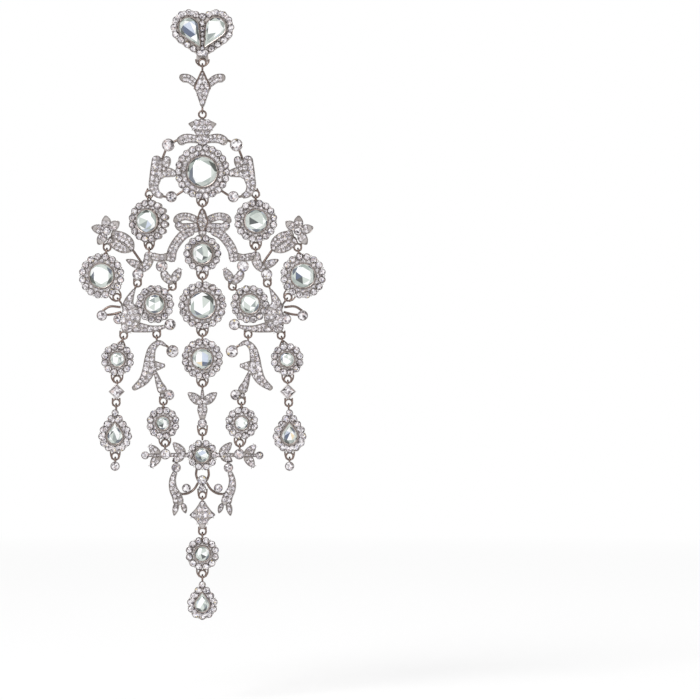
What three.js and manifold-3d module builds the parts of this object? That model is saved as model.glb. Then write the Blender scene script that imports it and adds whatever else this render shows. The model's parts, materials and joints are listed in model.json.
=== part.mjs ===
// Chandelier earring: a heart stud, a short fleur link, and a drop of paved frames and round
// settings in tiers, with small pendants on jump rings.
// Millimetres, +Z up. The front faces -Y. The origin is the root of the ear post, on the back
// of the stud, and the post points along +Y. Outlines are drawn in the XZ plane.

import * as THREE from 'three';
import { ConvexGeometry } from 'three/addons/geometries/ConvexGeometry.js';
import { mergeVertices } from 'three/addons/utils/BufferGeometryUtils.js';
import Module from 'manifold-3d';

const wasm = await Module();
wasm.setup();

// Plates and wire, and how deep they are from front to back
const HANG_Y = -1.2; // mid-plane of everything that hangs
const PLATE_DEPTH = 1.4; // paved plates, leaves and single-stone tubes
const WIRE = 0.5; // square wire between collets
const LEAF_WIDTHS = [[0, 0.3], [0.3, 0.95], [0.65, 0.85], [1, 0.12]]; // along it, and across
const STUD_DEPTH = 1.6;
const STUD_BACK_WALL = 0.5; // closes the stud behind its stones
const STUD_NOTCH = { radius: 0.7, z: 2.55 }; // the single brilliant where its two halves meet

// Stone settings
const HALO_LOBE = 0.62; // radius of one halo brilliant with its metal
const HALO_PITCH = 1.2; // from one halo brilliant to the next
const LOBE_SPREAD = Math.PI / 5; // a lobe's two corners lie this far to each side of its middle
const BEZEL_WALL = 0.3;
const BEZEL_RISE = 0.45; // a bezel's rim stands this far in front of its halo
const BEZEL_SIDES = 12;
const STONE_GAP = 0.08;
const STONE_BACK = 0.5; // depth of a stone behind its girdle
const STONE_SINK = 0.15; // its girdle lies this far behind the rim of the bezel
const TABLE_SHARE = 0.3; // how far the table lies inside the girdle, of the radius
const TABLE_SIDES = 6;
const BACK_SHARE = 0.12; // and the flat back
const CROWN = { least: 0.2, share: 0.12 }; // from the girdle to the table, and more with the radius

// Rings: a face-on eye on one piece holds an edge-on loop on the next
const EYE = { radius: 0.6, wire: 0.2 };
const LOOP = { radius: 0.55, wire: 0.17 };
const RING_PLAY = 0.05;
const LOOP_OFFSET = EYE.radius + LOOP.radius - EYE.wire - LOOP.wire - RING_PLAY;

// Flowers at the ends of the bow's arms: the centre's radius, where the petals begin and end, and
// their directions in degrees
const FLOWER = { core: 0.7, root: 0.4, reach: 2.65, width: 1.7, petals: [141, 87, 15, -56] };

// Ear post
const POST = { padRadius: 1.3, padDepth: 0.4, radius: 0.45, length: 11, tip: 0.4, gap: 0.1 };

// Round settings: centre, outer radius of the halo and radius of the stone. turn, in degrees,
// is how far a loosely hung one is turned about the vertical, on the left and on the right.
const ROUNDS = {
  crown: { x: 0, z: -23.2, halo: 4.65, stone: 2.5 },
  upper: { x: 8.85, z: -31.4, halo: 3.65, stone: 1.9, turn: { left: -24, right: 6 } },
  bow: { x: 0, z: -36.8, halo: 3.2, stone: 1.65 },
  outer: { x: 16.75, z: -40.5, halo: 3.85, stone: 2 },
  inner: { x: 7.9, z: -45.2, halo: 3.25, stone: 1.6 },
  middle: { x: 0, z: -45.4, halo: 4.05, stone: 2.2 },
  lower: { x: 0, z: -54.3, halo: 3.5, stone: 1.7 },
  small_outer: { x: 14.1, z: -54.4, halo: 2.8, stone: 1.2 },
  small_inner: { x: 6.55, z: -65, halo: 2.8, stone: 1.1 },
  base: { x: 0, z: -70.3, halo: 2.65, stone: 1.2 },
  tail: { x: 0, z: -86.7, halo: 2.85, stone: 1.25 },
};

// Pear settings: centre of the round end, radius of the stone there, and the distance from it
// to the stone's point. halo is how far outside the stone the halo brilliants are centred.
const PEARS = {
  stud: { x: 2.25, z: 0.8, stone: 1.65, reach: 3.8, halo: 0.82, pointX: 0.35, pointZ: -2.49 },
  drop: { x: 14.5, z: -67.15, stone: 1.3, reach: 2.25, halo: 0.93 },
  tail: { x: 0, z: -95.15, stone: 1.2, reach: 2.0, halo: 0.78 },
};

// Where pieces hang on each other: the centre of each eye, and the way that its loop leaves, in
// degrees from straight down, outwards positive. Those off the middle are there on both sides.
const HOOKS = {
  stud_link: { x: 0, z: -5.05, lean: 0 },
  link_crown: { x: 0, z: -13.65, lean: 180 },
  crown_bow: { x: 0, z: -28.35, lean: 0 },
  crown_upper: { x: 8.85, z: -26.9, lean: 0 },
  upper_bow: { x: 8.85, z: -35.55, lean: 0 },
  flower_outer: { x: 15.85, z: -35.75, lean: 11 },
  bow_middle: { x: 0, z: -40.5, lean: 0 },
  bow_inner: { x: 5.0, z: -42.25, lean: 45 },
  bow_scroll: { x: 10.8, z: -41.7, lean: 25 },
  outer_scroll: { x: 14.25, z: -44.05, lean: -37 },
  middle_lower: { x: 0, z: -49.95, lean: 0 },
  scroll_branch: { x: 7.6, z: -50.2, lean: 0 },
  scroll_string: { x: 13.1, z: -50.4, lean: 14 },
  string_lozenge: { x: 14.2, z: -57.7, lean: 0 },
  lozenge_pear: { x: 14.35, z: -61.6, lean: 0 },
  pear_tip: { x: 14.5, z: -70.5, lean: 0 },
  lower_spray: { x: 0, z: -58.35, lean: 0 },
  branch_round: { x: 6.5, z: -61.35, lean: 0 },
  round_base: { x: 6.2, z: -68.3, lean: 0 },
  spray_base: { x: 0, z: -66.45, lean: 0 },
  base_bell: { x: 0, z: -77, lean: 0 },
  bell_tail: { x: 0, z: -83, lean: 0 },
  tail_pear: { x: 0, z: -90.05, lean: 0 },
};

const SMALLEST_EDGE = 0.03; // soldered solids drop details below this

const SIDES = { left: -1, right: 1 };
const TURN = 2 * Math.PI;

const metal = () => new THREE.MeshStandardMaterial({ color: 0xd6d3d0, metalness: 1, roughness: 0.25 });
const gem = () => new THREE.MeshStandardMaterial({ color: 0xf2f6f8, metalness: 0, roughness: 0.04 });

/** A closed geometry as a solid that can be joined. */
function toSolid(geometry) {
  const bare = new THREE.BufferGeometry();
  bare.setAttribute('position', geometry.getAttribute('position'));
  bare.setIndex(geometry.index);
  const merged = mergeVertices(bare);
  return new wasm.Manifold(new wasm.Mesh({
    numProp: 3,
    vertProperties: new Float32Array(merged.getAttribute('position').array),
    triVerts: new Uint32Array(merged.index.array),
  }));
}

/** Joins overlapping closed geometries into one closed geometry, and cuts pockets into it. */
function soldered(geometries, pockets = []) {
  const joined = geometries.flat(Infinity).map(toSolid).reduce((whole, next) => whole.add(next));
  const solid = pockets.map(toSolid).reduce((whole, pocket) => whole.subtract(pocket), joined);
  const mesh = solid.asOriginal().simplify(SMALLEST_EDGE).getMesh();
  const geometry = new THREE.BufferGeometry();
  geometry.setAttribute('position', new THREE.BufferAttribute(mesh.vertProperties, 3));
  geometry.setIndex(new THREE.BufferAttribute(mesh.triVerts, 1));
  return geometry;
}

/** An outline in the XZ plane as a plate between two depths. */
function plate(shape, front = -PLATE_DEPTH / 2, back = PLATE_DEPTH / 2) {
  const geometry = new THREE.ExtrudeGeometry(shape, { depth: back - front, bevelEnabled: false });
  return geometry.rotateX(Math.PI / 2).translate(0, back, 0);
}

/**
 * A strip along a line of rows [x, z, width]. With steps above 1 it is a smooth curve through
 * them, and with 1 it is straight between them.
 */
function strip(side, rows, { steps = 2, depth = PLATE_DEPTH } = {}) {
  const stations = rows.map(([x, z, width]) => new THREE.Vector3(side * x, z, width / 2));
  const curve = new THREE.CatmullRomCurve3(stations, false, 'centripetal');
  const spine = steps > 1 ? curve.getPoints(steps * (rows.length - 1)) : stations;
  const edge = (hand) => spine.map((point, i) => {
    const before = spine[Math.max(i - 1, 0)];
    const after = spine[Math.min(i + 1, spine.length - 1)];
    const run = new THREE.Vector2(after.x - before.x, after.y - before.y).normalize();
    return new THREE.Vector2(point.x - hand * run.y * point.z, point.y + hand * run.x * point.z);
  });
  const shape = new THREE.Shape([...edge(1), ...edge(-1).reverse()]);
  return plate(shape, -depth / 2, depth / 2);
}

/** Square wire through rows [x, z]. */
function wire(side, rows) {
  return strip(side, rows.map(([x, z]) => [x, z, WIRE]), { steps: rows.length > 2 ? 2 : 1, depth: WIRE });
}

/** A pointed oval from its base to its tip. */
function leaf(side, [baseX, baseZ], [tipX, tipZ], width) {
  const rows = LEAF_WIDTHS.map(([along, share]) => [
    THREE.MathUtils.lerp(baseX, tipX, along),
    THREE.MathUtils.lerp(baseZ, tipZ, along),
    width * share,
  ]);
  return strip(side, rows, { steps: 1 });
}

/** The tube of one round stone. */
function collet(side, x, z, radius, sides = 8) {
  return new THREE.CylinderGeometry(radius, radius, PLATE_DEPTH, sides).translate(side * x, 0, z);
}

/** A face-on ring, soldered to the piece that carries the next one. */
function eye(hook, side = 1) {
  const ring = new THREE.TorusGeometry(EYE.radius, EYE.wire, 4, 8);
  return ring.rotateX(Math.PI / 2).translate(side * hook.x, 0, hook.z);
}

/** An edge-on ring through an eye, soldered to the piece that hangs on it. */
function loop(hook, side = 1) {
  const lean = side * THREE.MathUtils.degToRad(hook.lean);
  const way = new THREE.Vector3(Math.sin(lean), 0, -Math.cos(lean));
  const ring = new THREE.TorusGeometry(LOOP.radius, LOOP.wire, 4, 8).rotateY(Math.atan2(-way.z, way.x));
  return ring.translate(side * hook.x + way.x * LOOP_OFFSET, 0, hook.z + way.z * LOOP_OFFSET);
}

/** A circle grown outwards, starting at its top. */
const roundOutline = (radius) => (grow) => {
  const path = new THREE.Path();
  return path.absarc(0, 0, radius + grow, TURN / 4, TURN * 1.25);
};

/** A pear with its point up, grown outwards, starting at its point. */
const pearOutline = (radius, reach) => (grow) => {
  const flank = TURN / 4 + Math.acos(radius / reach);
  const round = radius + grow;
  const path = new THREE.Path();
  path.moveTo(0, reach * round / radius);
  path.lineTo(round * Math.cos(flank), round * Math.sin(flank));
  path.absarc(0, 0, round, flank, 1.5 * TURN - flank);
  path.lineTo(0, reach * round / radius);
  return path;
};

/** Evenly spaced points of a closed path. */
function cornersOf(path, count, shift = 0) {
  return Array.from({ length: count }, (_, i) => path.getPoint((i + shift) / count));
}

/** The scalloped outline of a halo whose brilliants are centred on a path. */
function haloOutline(path, shift) {
  const count = 2 * Math.round(path.getLength() / (2 * HALO_PITCH));
  const centres = cornersOf(path, count, shift);
  return centres.flatMap((centre, i) => {
    const along = centres[(i + 1) % count].clone().sub(centres[(i + count - 1) % count]);
    const outwards = along.angle() - TURN / 4;
    return [-1, 1].map((corner) => {
      const angle = outwards + corner * LOBE_SPREAD;
      return new THREE.Vector2(
        centre.x + HALO_LOBE * Math.cos(angle),
        centre.y + HALO_LOBE * Math.sin(angle),
      );
    });
  });
}

/** A halo with a raised bezel round a through hole, or round a pocket with a wall behind it. */
function setting(outline, haloPath, shift, { depth = PLATE_DEPTH, back = depth / 2, wall = 0 } = {}) {
  const front = back - depth;
  const hole = new THREE.Path(cornersOf(outline(STONE_GAP), BEZEL_SIDES));
  const halo = new THREE.Shape(haloOutline(haloPath, shift));
  const solids = wall ? [plate(halo.clone(), back - wall, back)] : [];
  halo.holes.push(hole);
  solids.push(plate(halo, front, back));
  const rim = new THREE.Shape(cornersOf(outline(STONE_GAP + BEZEL_WALL), BEZEL_SIDES));
  rim.holes.push(hole);
  solids.push(plate(rim, front - BEZEL_RISE, (front + back) / 2));
  return solids;
}

/** A rose-cut stone: a flat back, a round girdle, and flat facets up to a small table. */
function roseCut(outline, radius, front = -PLATE_DEPTH / 2) {
  const girdle = front - BEZEL_RISE + STONE_SINK;
  const ring = (inset, y, count) => cornersOf(outline(-inset), count)
    .map((point) => new THREE.Vector3(point.x, y, point.y));
  return new ConvexGeometry([
    ...ring(radius * BACK_SHARE, girdle + STONE_BACK, BEZEL_SIDES),
    ...ring(0, girdle, BEZEL_SIDES),
    ...ring(radius * TABLE_SHARE, girdle - CROWN.least - CROWN.share * radius, TABLE_SIDES),
  ]);
}

function roundSetting({ x, z, halo, stone }, side = 1) {
  const path = roundOutline(halo - HALO_LOBE)(0);
  return setting(roundOutline(stone), path, 0.5).map((solid) => solid.translate(side * x, 0, z));
}

function roundStone({ x, z, stone }, side = 1) {
  return roseCut(roundOutline(stone), stone).translate(side * x, 0, z);
}

function pearSetting({ x, z, stone, reach, halo }, side = 1) {
  const outline = pearOutline(stone, reach);
  return setting(outline, outline(halo), 0).map((solid) => solid.translate(side * x, 0, z));
}

function pearStone({ x, z, stone, reach }, side = 1) {
  return roseCut(pearOutline(stone, reach), stone).translate(side * x, 0, z);
}

const earring = new THREE.Group();

/** Adds a sub-part, turned about a vertical line if it hangs loosely. */
function place(name, geometry, material, { y = HANG_Y, turn = 0, about = 0 } = {}) {
  const mesh = new THREE.Mesh(geometry.translate(-about, 0, 0), material);
  mesh.name = name;
  mesh.position.set(about, y, 0);
  mesh.rotation.z = THREE.MathUtils.degToRad(turn);
  earring.add(mesh);
}

/** Adds a round setting with its rings, and its stone. */
function placeRound(name, round, rings, side = 1, hand = '') {
  const suffix = hand && `_${hand}`;
  const placing = { turn: round.turn?.[hand] ?? 0, about: side * round.x };
  place(`${name}_setting${suffix}`, soldered([roundSetting(round, side), rings]), metal(), placing);
  place(`${name}_stone${suffix}`, roundStone(round, side), gem(), placing);
}

/** Both mirrored halves of a symmetric piece. */
const mirrored = (makeHalf) => Object.values(SIDES).map(makeHalf);

// ---- Stud ----

/** Leans an upright pear of the stud so that its point meets the other's at the bottom. */
function leanedPear(geometry, side) {
  const { x, z, pointX, pointZ } = PEARS.stud;
  return geometry.rotateY(side * Math.atan2(pointX - x, pointZ - z)).translate(side * x, 0, z);
}

function studSetting() {
  const { stone, reach, halo } = PEARS.stud;
  const outline = pearOutline(stone, reach);
  const options = { depth: STUD_DEPTH, back: 0, wall: STUD_BACK_WALL };
  const halves = mirrored((side) => setting(outline, outline(halo), 0, options)
    .map((solid) => leanedPear(solid, side)));
  const top = new THREE.CylinderGeometry(STUD_NOTCH.radius, STUD_NOTCH.radius, STUD_DEPTH, 10);
  const pockets = mirrored((side) => {
    const hole = new THREE.Shape(cornersOf(outline(STONE_GAP), BEZEL_SIDES));
    return leanedPear(plate(hole, -STUD_DEPTH - BEZEL_RISE, -STUD_BACK_WALL), side);
  });
  const solids = [
    halves,
    top.translate(0, -STUD_DEPTH / 2, STUD_NOTCH.z),
    eye(HOOKS.stud_link).translate(0, HANG_Y, 0),
  ];
  return soldered(solids, pockets);
}

function earPost() {
  const { padRadius, padDepth, radius, length, tip } = POST;
  const profile = [
    [0, 0], [padRadius, 0], [padRadius, padDepth / 2], [radius, padDepth],
    [radius, length - tip], [radius / 2, length], [0, length],
  ];
  return new THREE.LatheGeometry(profile.map(([r, y]) => new THREE.Vector2(r, y)), 12);
}

place('stud_setting', studSetting(), metal(), { y: 0 });
place('ear_post', earPost(), metal(), { y: POST.gap });
for (const [hand, side] of Object.entries(SIDES)) {
  const { stone, reach } = PEARS.stud;
  const upright = roseCut(pearOutline(stone, reach), stone, -STUD_DEPTH);
  place(`stud_stone_${hand}`, leanedPear(upright, side), gem(), { y: 0 });
}

// ---- Fleur link ----

function fleurLink() {
  return soldered([
    loop(HOOKS.stud_link),
    // x, z, width
    strip(1, [
      [0, -6.35, 0.5], [0, -7.7, 1.7], [0, -8.9, 2.8], [0, -10.3, 1.9], [0, -11.7, 1.0], [0, -12.4, 0.5],
    ], { steps: 1 }),
    mirrored((side) => strip(side, [
      [0.4, -9.2, 1.1], [1.3, -8.4, 1.3], [2.3, -7.7, 1.4], [3.3, -7.6, 1.4], [3.8, -7.75, 1.0],
    ])),
    loop(HOOKS.link_crown),
  ]);
}

place('fleur_link', fleurLink(), metal());

// ---- Crown frame ----

function crownHalf(side) {
  return [
    // x, z, width
    strip(side, [[0.2, -18.1, 1.0], [1.5, -17.7, 1.4], [2.9, -17.7, 1.6], [4.1, -18.4, 1.5]]),
    wire(side, [[3.9, -17.8], [5.2, -18.4]]),
    collet(side, 5.65, -18.75, 1.08),
    wire(side, [[6.0, -19.3], [6.75, -21.2]]),
    strip(side, [
      [7.7, -20.5, 1.3], [7.55, -22, 2.0], [7.8, -24, 2.0], [8.1, -25.6, 1.6], [7.6, -26.8, 1.3],
      [6.5, -27.3, 0.8],
    ]),
    strip(side, [[5.8, -20.6, 1.0], [6.0, -21.6, 1.5], [7, -22.8, 1.8]]),
    strip(side, [[4.3, -23.6, 0.9], [5.5, -23.3, 1.6], [6.7, -23.3, 1.8], [7.6, -24.2, 1.6]]),
    collet(side, 5.15, -27.35, 0.95),
    wire(side, [[3.1, -26.3], [4.5, -27.2]]),
    wire(side, [[5.8, -27.4], [6.8, -27.2]]),
    eye(HOOKS.crown_upper, side),
  ];
}

function crownFrame() {
  return [
    eye(HOOKS.link_crown),
    strip(1, [
      [0, -14.4, 1.9], [0, -15.2, 4.7], [0, -15.6, 4.1], [0, -16.4, 2.9], [0, -17.4, 1.9], [0, -19, 1.5],
    ], { steps: 1 }),
    mirrored(crownHalf),
    eye(HOOKS.crown_bow),
  ];
}

placeRound('crown', ROUNDS.crown, crownFrame());

for (const [hand, side] of Object.entries(SIDES)) {
  const rings = [loop(HOOKS.crown_upper, side), eye(HOOKS.upper_bow, side)];
  placeRound('upper', ROUNDS.upper, rings, side, hand);
}

// ---- Bow frame, with its side arms and flowers ----

function bowHalf(side) {
  return [
    // x, z, width
    strip(side, [
      [0.3, -31.7, 1], [1.5, -30.95, 1.3], [2.9, -30.6, 1.3], [4, -30.95, 1.4], [4.3, -31.9, 1.3],
    ]),
    strip(side, [[4.3, -31.6, 1.2], [3.6, -32.4, 1.5], [2.2, -32.55, 1.7], [0.4, -32.4, 1.6]]),
    strip(side, [[1.4, -33, 1.3], [3, -33.6, 1.6], [4.15, -34.8, 1.6], [5, -36.3, 1.6], [5.3, -38.2, 1.7]]),
    strip(side, [[5.2, -37.1, 1.3], [6.8, -37.5, 1.3], [8.6, -37.2, 1.4]]),
    loop(HOOKS.upper_bow, side),
    strip(side, [[8.85, -36.45, 1.6], [8.9, -37.6, 1.7], [9.3, -38.7, 1.6], [10.4, -39.6, 1.2]]),
    collet(side, 6.75, -38.9, 1.0),
    strip(side, [[6.5, -39.6, 1.1], [6.15, -40.6, 1.5], [5.4, -41.3, 1.4], [4.9, -41.85, 0.7]]),
    leaf(side, [4.9, -41.5], [3.65, -39.2], 1.6),
    eye(HOOKS.bow_inner, side),
    collet(side, 10.7, -40.25, 0.95),
    eye(HOOKS.bow_scroll, side),
    leaf(side, [9.9, -39.1], [12.7, -37.8], 1.4),
    wire(side, [[9.9, -38.6], [11.8, -35.9]]),
    strip(side, [[11.7, -36.3, 0.7], [12.1, -35, 1.5], [13.2, -34.1, 1.7], [15.2, -33.5, 1.4]]),
    strip(side, [[11.7, -36.2, 0.7], [13.2, -36, 1.5], [14.5, -35.2, 1.7], [15.3, -33.9, 1.5]]),
    strip(side, [[15.1, -34.2, 0.8], [15.8, -35.3, 0.6]]),
    eye(HOOKS.flower_outer, side),
    flower(side, 15.9, -33.1),
  ];
}

/** A round centre with four pointed petals. The fifth place holds the stem. */
function flower(side, x, z) {
  const { core, root, reach, width, petals } = FLOWER;
  const leaves = petals.map((degrees) => {
    const angle = THREE.MathUtils.degToRad(degrees);
    const at = (radius) => [x + radius * Math.cos(angle), z + radius * Math.sin(angle)];
    return leaf(side, at(root), at(reach), width);
  });
  return [collet(side, x, z, core), leaves];
}

function bowFrame() {
  return [
    loop(HOOKS.crown_bow),
    strip(1, [[0, -29.3, 0.6], [0, -30.2, 1.4], [0, -31.4, 1.7], [0, -32.6, 1.5], [0, -34, 1.2]]),
    mirrored(bowHalf),
    eye(HOOKS.bow_middle),
  ];
}

placeRound('bow', ROUNDS.bow, bowFrame());
placeRound('middle', ROUNDS.middle, [loop(HOOKS.bow_middle), eye(HOOKS.middle_lower)]);
placeRound('lower', ROUNDS.lower, [loop(HOOKS.middle_lower), eye(HOOKS.lower_spray)]);

for (const [hand, side] of Object.entries(SIDES)) {
  const rings = [loop(HOOKS.flower_outer, side), eye(HOOKS.outer_scroll, side)];
  placeRound('outer', ROUNDS.outer, rings, side, hand);
}

// ---- Side scrolls, each with its round setting ----

function sideScroll(side) {
  return [
    loop(HOOKS.bow_inner, side),
    loop(HOOKS.bow_scroll, side),
    loop(HOOKS.outer_scroll, side),
    // x, z, width
    strip(side, [
      [11.3, -42.7, 0.4], [11.9, -43.9, 1.1], [12.3, -45.1, 1.8], [12, -46.4, 2.9], [12, -47.6, 3.5],
      [12.4, -48.8, 2.5], [12.9, -50, 1],
    ]),
    strip(side, [
      [12.2, -48.8, 2.2], [10.4, -49.1, 1.7], [8.6, -49.3, 1.2], [6.9, -49.1, 0.8], [5.6, -48.7, 0.5],
    ]),
    strip(side, [[12.4, -46.6, 1.4], [13.0, -45.8, 0.8], [13.4, -45.1, 0.5]]),
    collet(side, 13.95, -47.7, 0.85),
    wire(side, [[16.6, -46.3], [15.4, -45.6], [13.6, -45.7]]),
    wire(side, [[16.2, -47.0], [15.0, -46.9], [13.5, -46.5]]),
    collet(side, 16.7, -47.1, 0.88),
    collet(side, 5.35, -48.6, 0.95),
    eye(HOOKS.scroll_branch, side),
    eye(HOOKS.scroll_string, side),
  ];
}

for (const [hand, side] of Object.entries(SIDES)) {
  placeRound('scroll', ROUNDS.inner, sideScroll(side), side, hand);
}

// ---- Outer strings: round setting, lozenge, pear and tip ----

for (const [hand, side] of Object.entries(SIDES)) {
  const rings = [loop(HOOKS.scroll_string, side), eye(HOOKS.string_lozenge, side)];
  placeRound('string', ROUNDS.small_outer, rings, side, hand);
  const lozenge = [
    loop(HOOKS.string_lozenge, side),
    collet(side, 14.25, -59.75, 1.35, 4),
    eye(HOOKS.lozenge_pear, side),
  ];
  place(`lozenge_${hand}`, soldered(lozenge), metal());
  const pear = [
    loop(HOOKS.lozenge_pear, side),
    pearSetting(PEARS.drop, side),
    eye(HOOKS.pear_tip, side),
  ];
  place(`pear_drop_setting_${hand}`, soldered(pear), metal());
  place(`pear_drop_stone_${hand}`, pearStone(PEARS.drop, side), gem());
  const tip = [loop(HOOKS.pear_tip, side), collet(side, 14.5, -72.15, 0.78)];
  place(`tip_drop_${hand}`, soldered(tip), metal());
}

// ---- Inner branches, with a round setting on each ----

function innerBranch(side) {
  return soldered([
    loop(HOOKS.scroll_branch, side),
    // x, z, width
    strip(side, [
      [6.1, -52.1, 0.5], [7.2, -51.6, 0.9], [8.3, -52.5, 1.3], [8.75, -54.3, 1.75], [8.9, -56, 2.1],
      [9.7, -57.8, 1.7], [11.6, -59.4, 0.8],
    ]),
    wire(side, [[6.7, -51.8], [5.9, -52.2], [5.2, -52.8]]),
    collet(side, 4.95, -53.05, 1.05),
    strip(side, [[8.5, -55.5, 2.2], [7.4, -55.5, 1.5], [6.2, -55.4, 0.5]]),
    strip(side, [[8, -56.3, 0.6], [7.6, -57.2, 0.8], [7.2, -58.4, 1.2], [6.7, -59.5, 1.6], [6.7, -60.2, 1]]),
    collet(side, 5.55, -60.3, 0.9),
    strip(side, [[6.7, -60, 1.0], [6.55, -60.8, 0.6]], { steps: 1 }),
    eye(HOOKS.branch_round, side),
  ]);
}

for (const [hand, side] of Object.entries(SIDES)) {
  place(`inner_branch_${hand}`, innerBranch(side), metal());
  const rings = [loop(HOOKS.branch_round, side), eye(HOOKS.round_base, side)];
  placeRound('branch', ROUNDS.small_inner, rings, side, hand);
}

// ---- Leaf spray ----

function leafSpray() {
  return soldered([
    loop(HOOKS.lower_spray),
    // x, z, width
    strip(1, [
      [0, -59.4, 0.4], [0, -60.6, 0.7], [0, -61.6, 1.2], [0, -62.8, 1.7], [0, -63.8, 1.2], [0, -64.6, 0.7],
    ], { steps: 1 }),
    mirrored((side) => leaf(side, [0.1, -61.8], [2.4, -59.9], 1.7)),
    collet(1, 0, -65, 0.78),
    eye(HOOKS.spray_base),
  ]);
}

place('leaf_spray', leafSpray(), metal());

// ---- Base frame ----

function baseHalf(side) {
  return [
    // x, z
    leaf(side, [2.9, -70.4], [4.85, -68.2], 1.6),
    leaf(side, [3.0, -70.3], [5, -71.4], 1.4),
    wire(side, [[2.3, -70.3], [9.5, -70.35]]),
    loop(HOOKS.round_base, side),
    collet(side, 6.15, -70.15, 0.9),
    leaf(side, [7.1, -70.6], [8.85, -68.6], 1.6),
    leaf(side, [7.1, -70.1], [8.6, -72.4], 1.6),
    collet(side, 9.5, -70.35, 0.67),
    wire(side, [[4.2, -71], [4.35, -72.2]]),
    collet(side, 4.35, -72.4, 0.8),
    // x, z, width
    strip(side, [
      [4.5, -73, 0.8], [4.95, -74.4, 1.1], [4.85, -75.9, 1.4], [4.2, -77.3, 1.7], [3.85, -78.7, 1.9],
    ]),
    leaf(side, [3.3, -78.3], [2.75, -80], 1.0),
    leaf(side, [4.25, -78.2], [4.7, -80.4], 1.1),
    strip(side, [[4.3, -76.9, 1.0], [3.4, -76.8, 0.6]], { steps: 1 }),
    collet(side, 2.65, -75.8, 0.75),
    wire(side, [[3.7, -76.8], [2.5, -76.7], [1.4, -76.0], [0.7, -74.9]]),
    wire(side, [[0.9, -72.4], [1.05, -73.6], [0.7, -74.6]]),
  ];
}

function baseFrame() {
  return [
    loop(HOOKS.spray_base),
    mirrored(baseHalf),
    collet(1, 0, -74.5, 0.85),
    collet(1, 0, -75.8, 0.62),
    eye(HOOKS.base_bell),
  ];
}

placeRound('base', ROUNDS.base, baseFrame());

// ---- Bell drop and tail ----

function bellDrop() {
  return soldered([
    loop(HOOKS.base_bell),
    // x, z, width
    strip(1, [
      [0, -77.85, 0.6], [0, -78.7, 1.6], [0, -79.5, 2.8], [0, -80.3, 4.3], [0, -80.6, 3.5],
      [0, -81.2, 2.1], [0, -82, 1.1], [0, -82.6, 0.6],
    ], { steps: 1 }),
    eye(HOOKS.bell_tail),
  ]);
}

place('bell_drop', bellDrop(), metal());
placeRound('tail', ROUNDS.tail, [loop(HOOKS.bell_tail), eye(HOOKS.tail_pear)]);
place('tail_pear_setting', soldered([loop(HOOKS.tail_pear), pearSetting(PEARS.tail)]), metal());
place('tail_pear_stone', pearStone(PEARS.tail), gem());

export default earring;
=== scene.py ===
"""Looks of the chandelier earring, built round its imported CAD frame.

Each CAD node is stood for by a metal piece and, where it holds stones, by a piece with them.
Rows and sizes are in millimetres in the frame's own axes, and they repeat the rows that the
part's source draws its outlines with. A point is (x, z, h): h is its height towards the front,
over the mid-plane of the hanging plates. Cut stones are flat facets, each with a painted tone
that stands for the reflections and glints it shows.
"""

import json
import math

import bpy
import numpy as np
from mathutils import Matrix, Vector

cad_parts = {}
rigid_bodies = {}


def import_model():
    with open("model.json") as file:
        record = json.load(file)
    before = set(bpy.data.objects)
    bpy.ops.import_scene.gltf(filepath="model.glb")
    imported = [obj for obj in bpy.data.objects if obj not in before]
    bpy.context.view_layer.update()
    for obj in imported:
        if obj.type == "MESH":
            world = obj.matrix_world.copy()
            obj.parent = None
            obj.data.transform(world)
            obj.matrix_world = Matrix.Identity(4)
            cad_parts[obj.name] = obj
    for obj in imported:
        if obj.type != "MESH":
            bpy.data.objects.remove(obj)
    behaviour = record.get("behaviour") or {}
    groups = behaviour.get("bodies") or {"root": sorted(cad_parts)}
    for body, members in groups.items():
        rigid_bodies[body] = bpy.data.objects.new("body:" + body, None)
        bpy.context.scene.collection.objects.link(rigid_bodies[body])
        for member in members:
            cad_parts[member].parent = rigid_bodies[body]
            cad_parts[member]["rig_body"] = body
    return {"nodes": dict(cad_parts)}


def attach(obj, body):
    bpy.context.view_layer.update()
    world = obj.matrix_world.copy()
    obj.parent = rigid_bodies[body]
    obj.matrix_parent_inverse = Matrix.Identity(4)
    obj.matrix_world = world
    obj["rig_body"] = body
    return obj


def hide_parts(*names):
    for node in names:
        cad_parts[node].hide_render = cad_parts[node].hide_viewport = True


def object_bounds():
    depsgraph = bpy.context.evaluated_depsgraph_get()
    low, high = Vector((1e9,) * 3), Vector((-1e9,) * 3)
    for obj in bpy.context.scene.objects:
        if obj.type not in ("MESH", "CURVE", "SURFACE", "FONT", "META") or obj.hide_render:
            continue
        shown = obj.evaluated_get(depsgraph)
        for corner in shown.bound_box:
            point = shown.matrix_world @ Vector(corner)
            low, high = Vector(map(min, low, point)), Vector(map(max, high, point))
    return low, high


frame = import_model()
cad_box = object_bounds()

MM = 0.001
TURN = 2 * math.pi
SIDES = {"left": -1, "right": 1}
rng = np.random.default_rng(11)

# Depths
HANG_Y = -1.2  # mid-plane of everything that hangs
BACK_H = -0.7  # back of a plate
RIM_H = 0.64  # top of a plate's raised rim
BED_H = 0.38  # bed between the rims, that the stones are set in
GIRDLE_H = 0.5  # girdle of a small stone
BEZEL_H = 1.1  # top of a big stone's bezel
ROSE_H = 1.0  # girdle of a big stone
STUD_LIFT = -0.3  # the stud's front lies this much further back
STUD_BACK_H = -1.2

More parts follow.
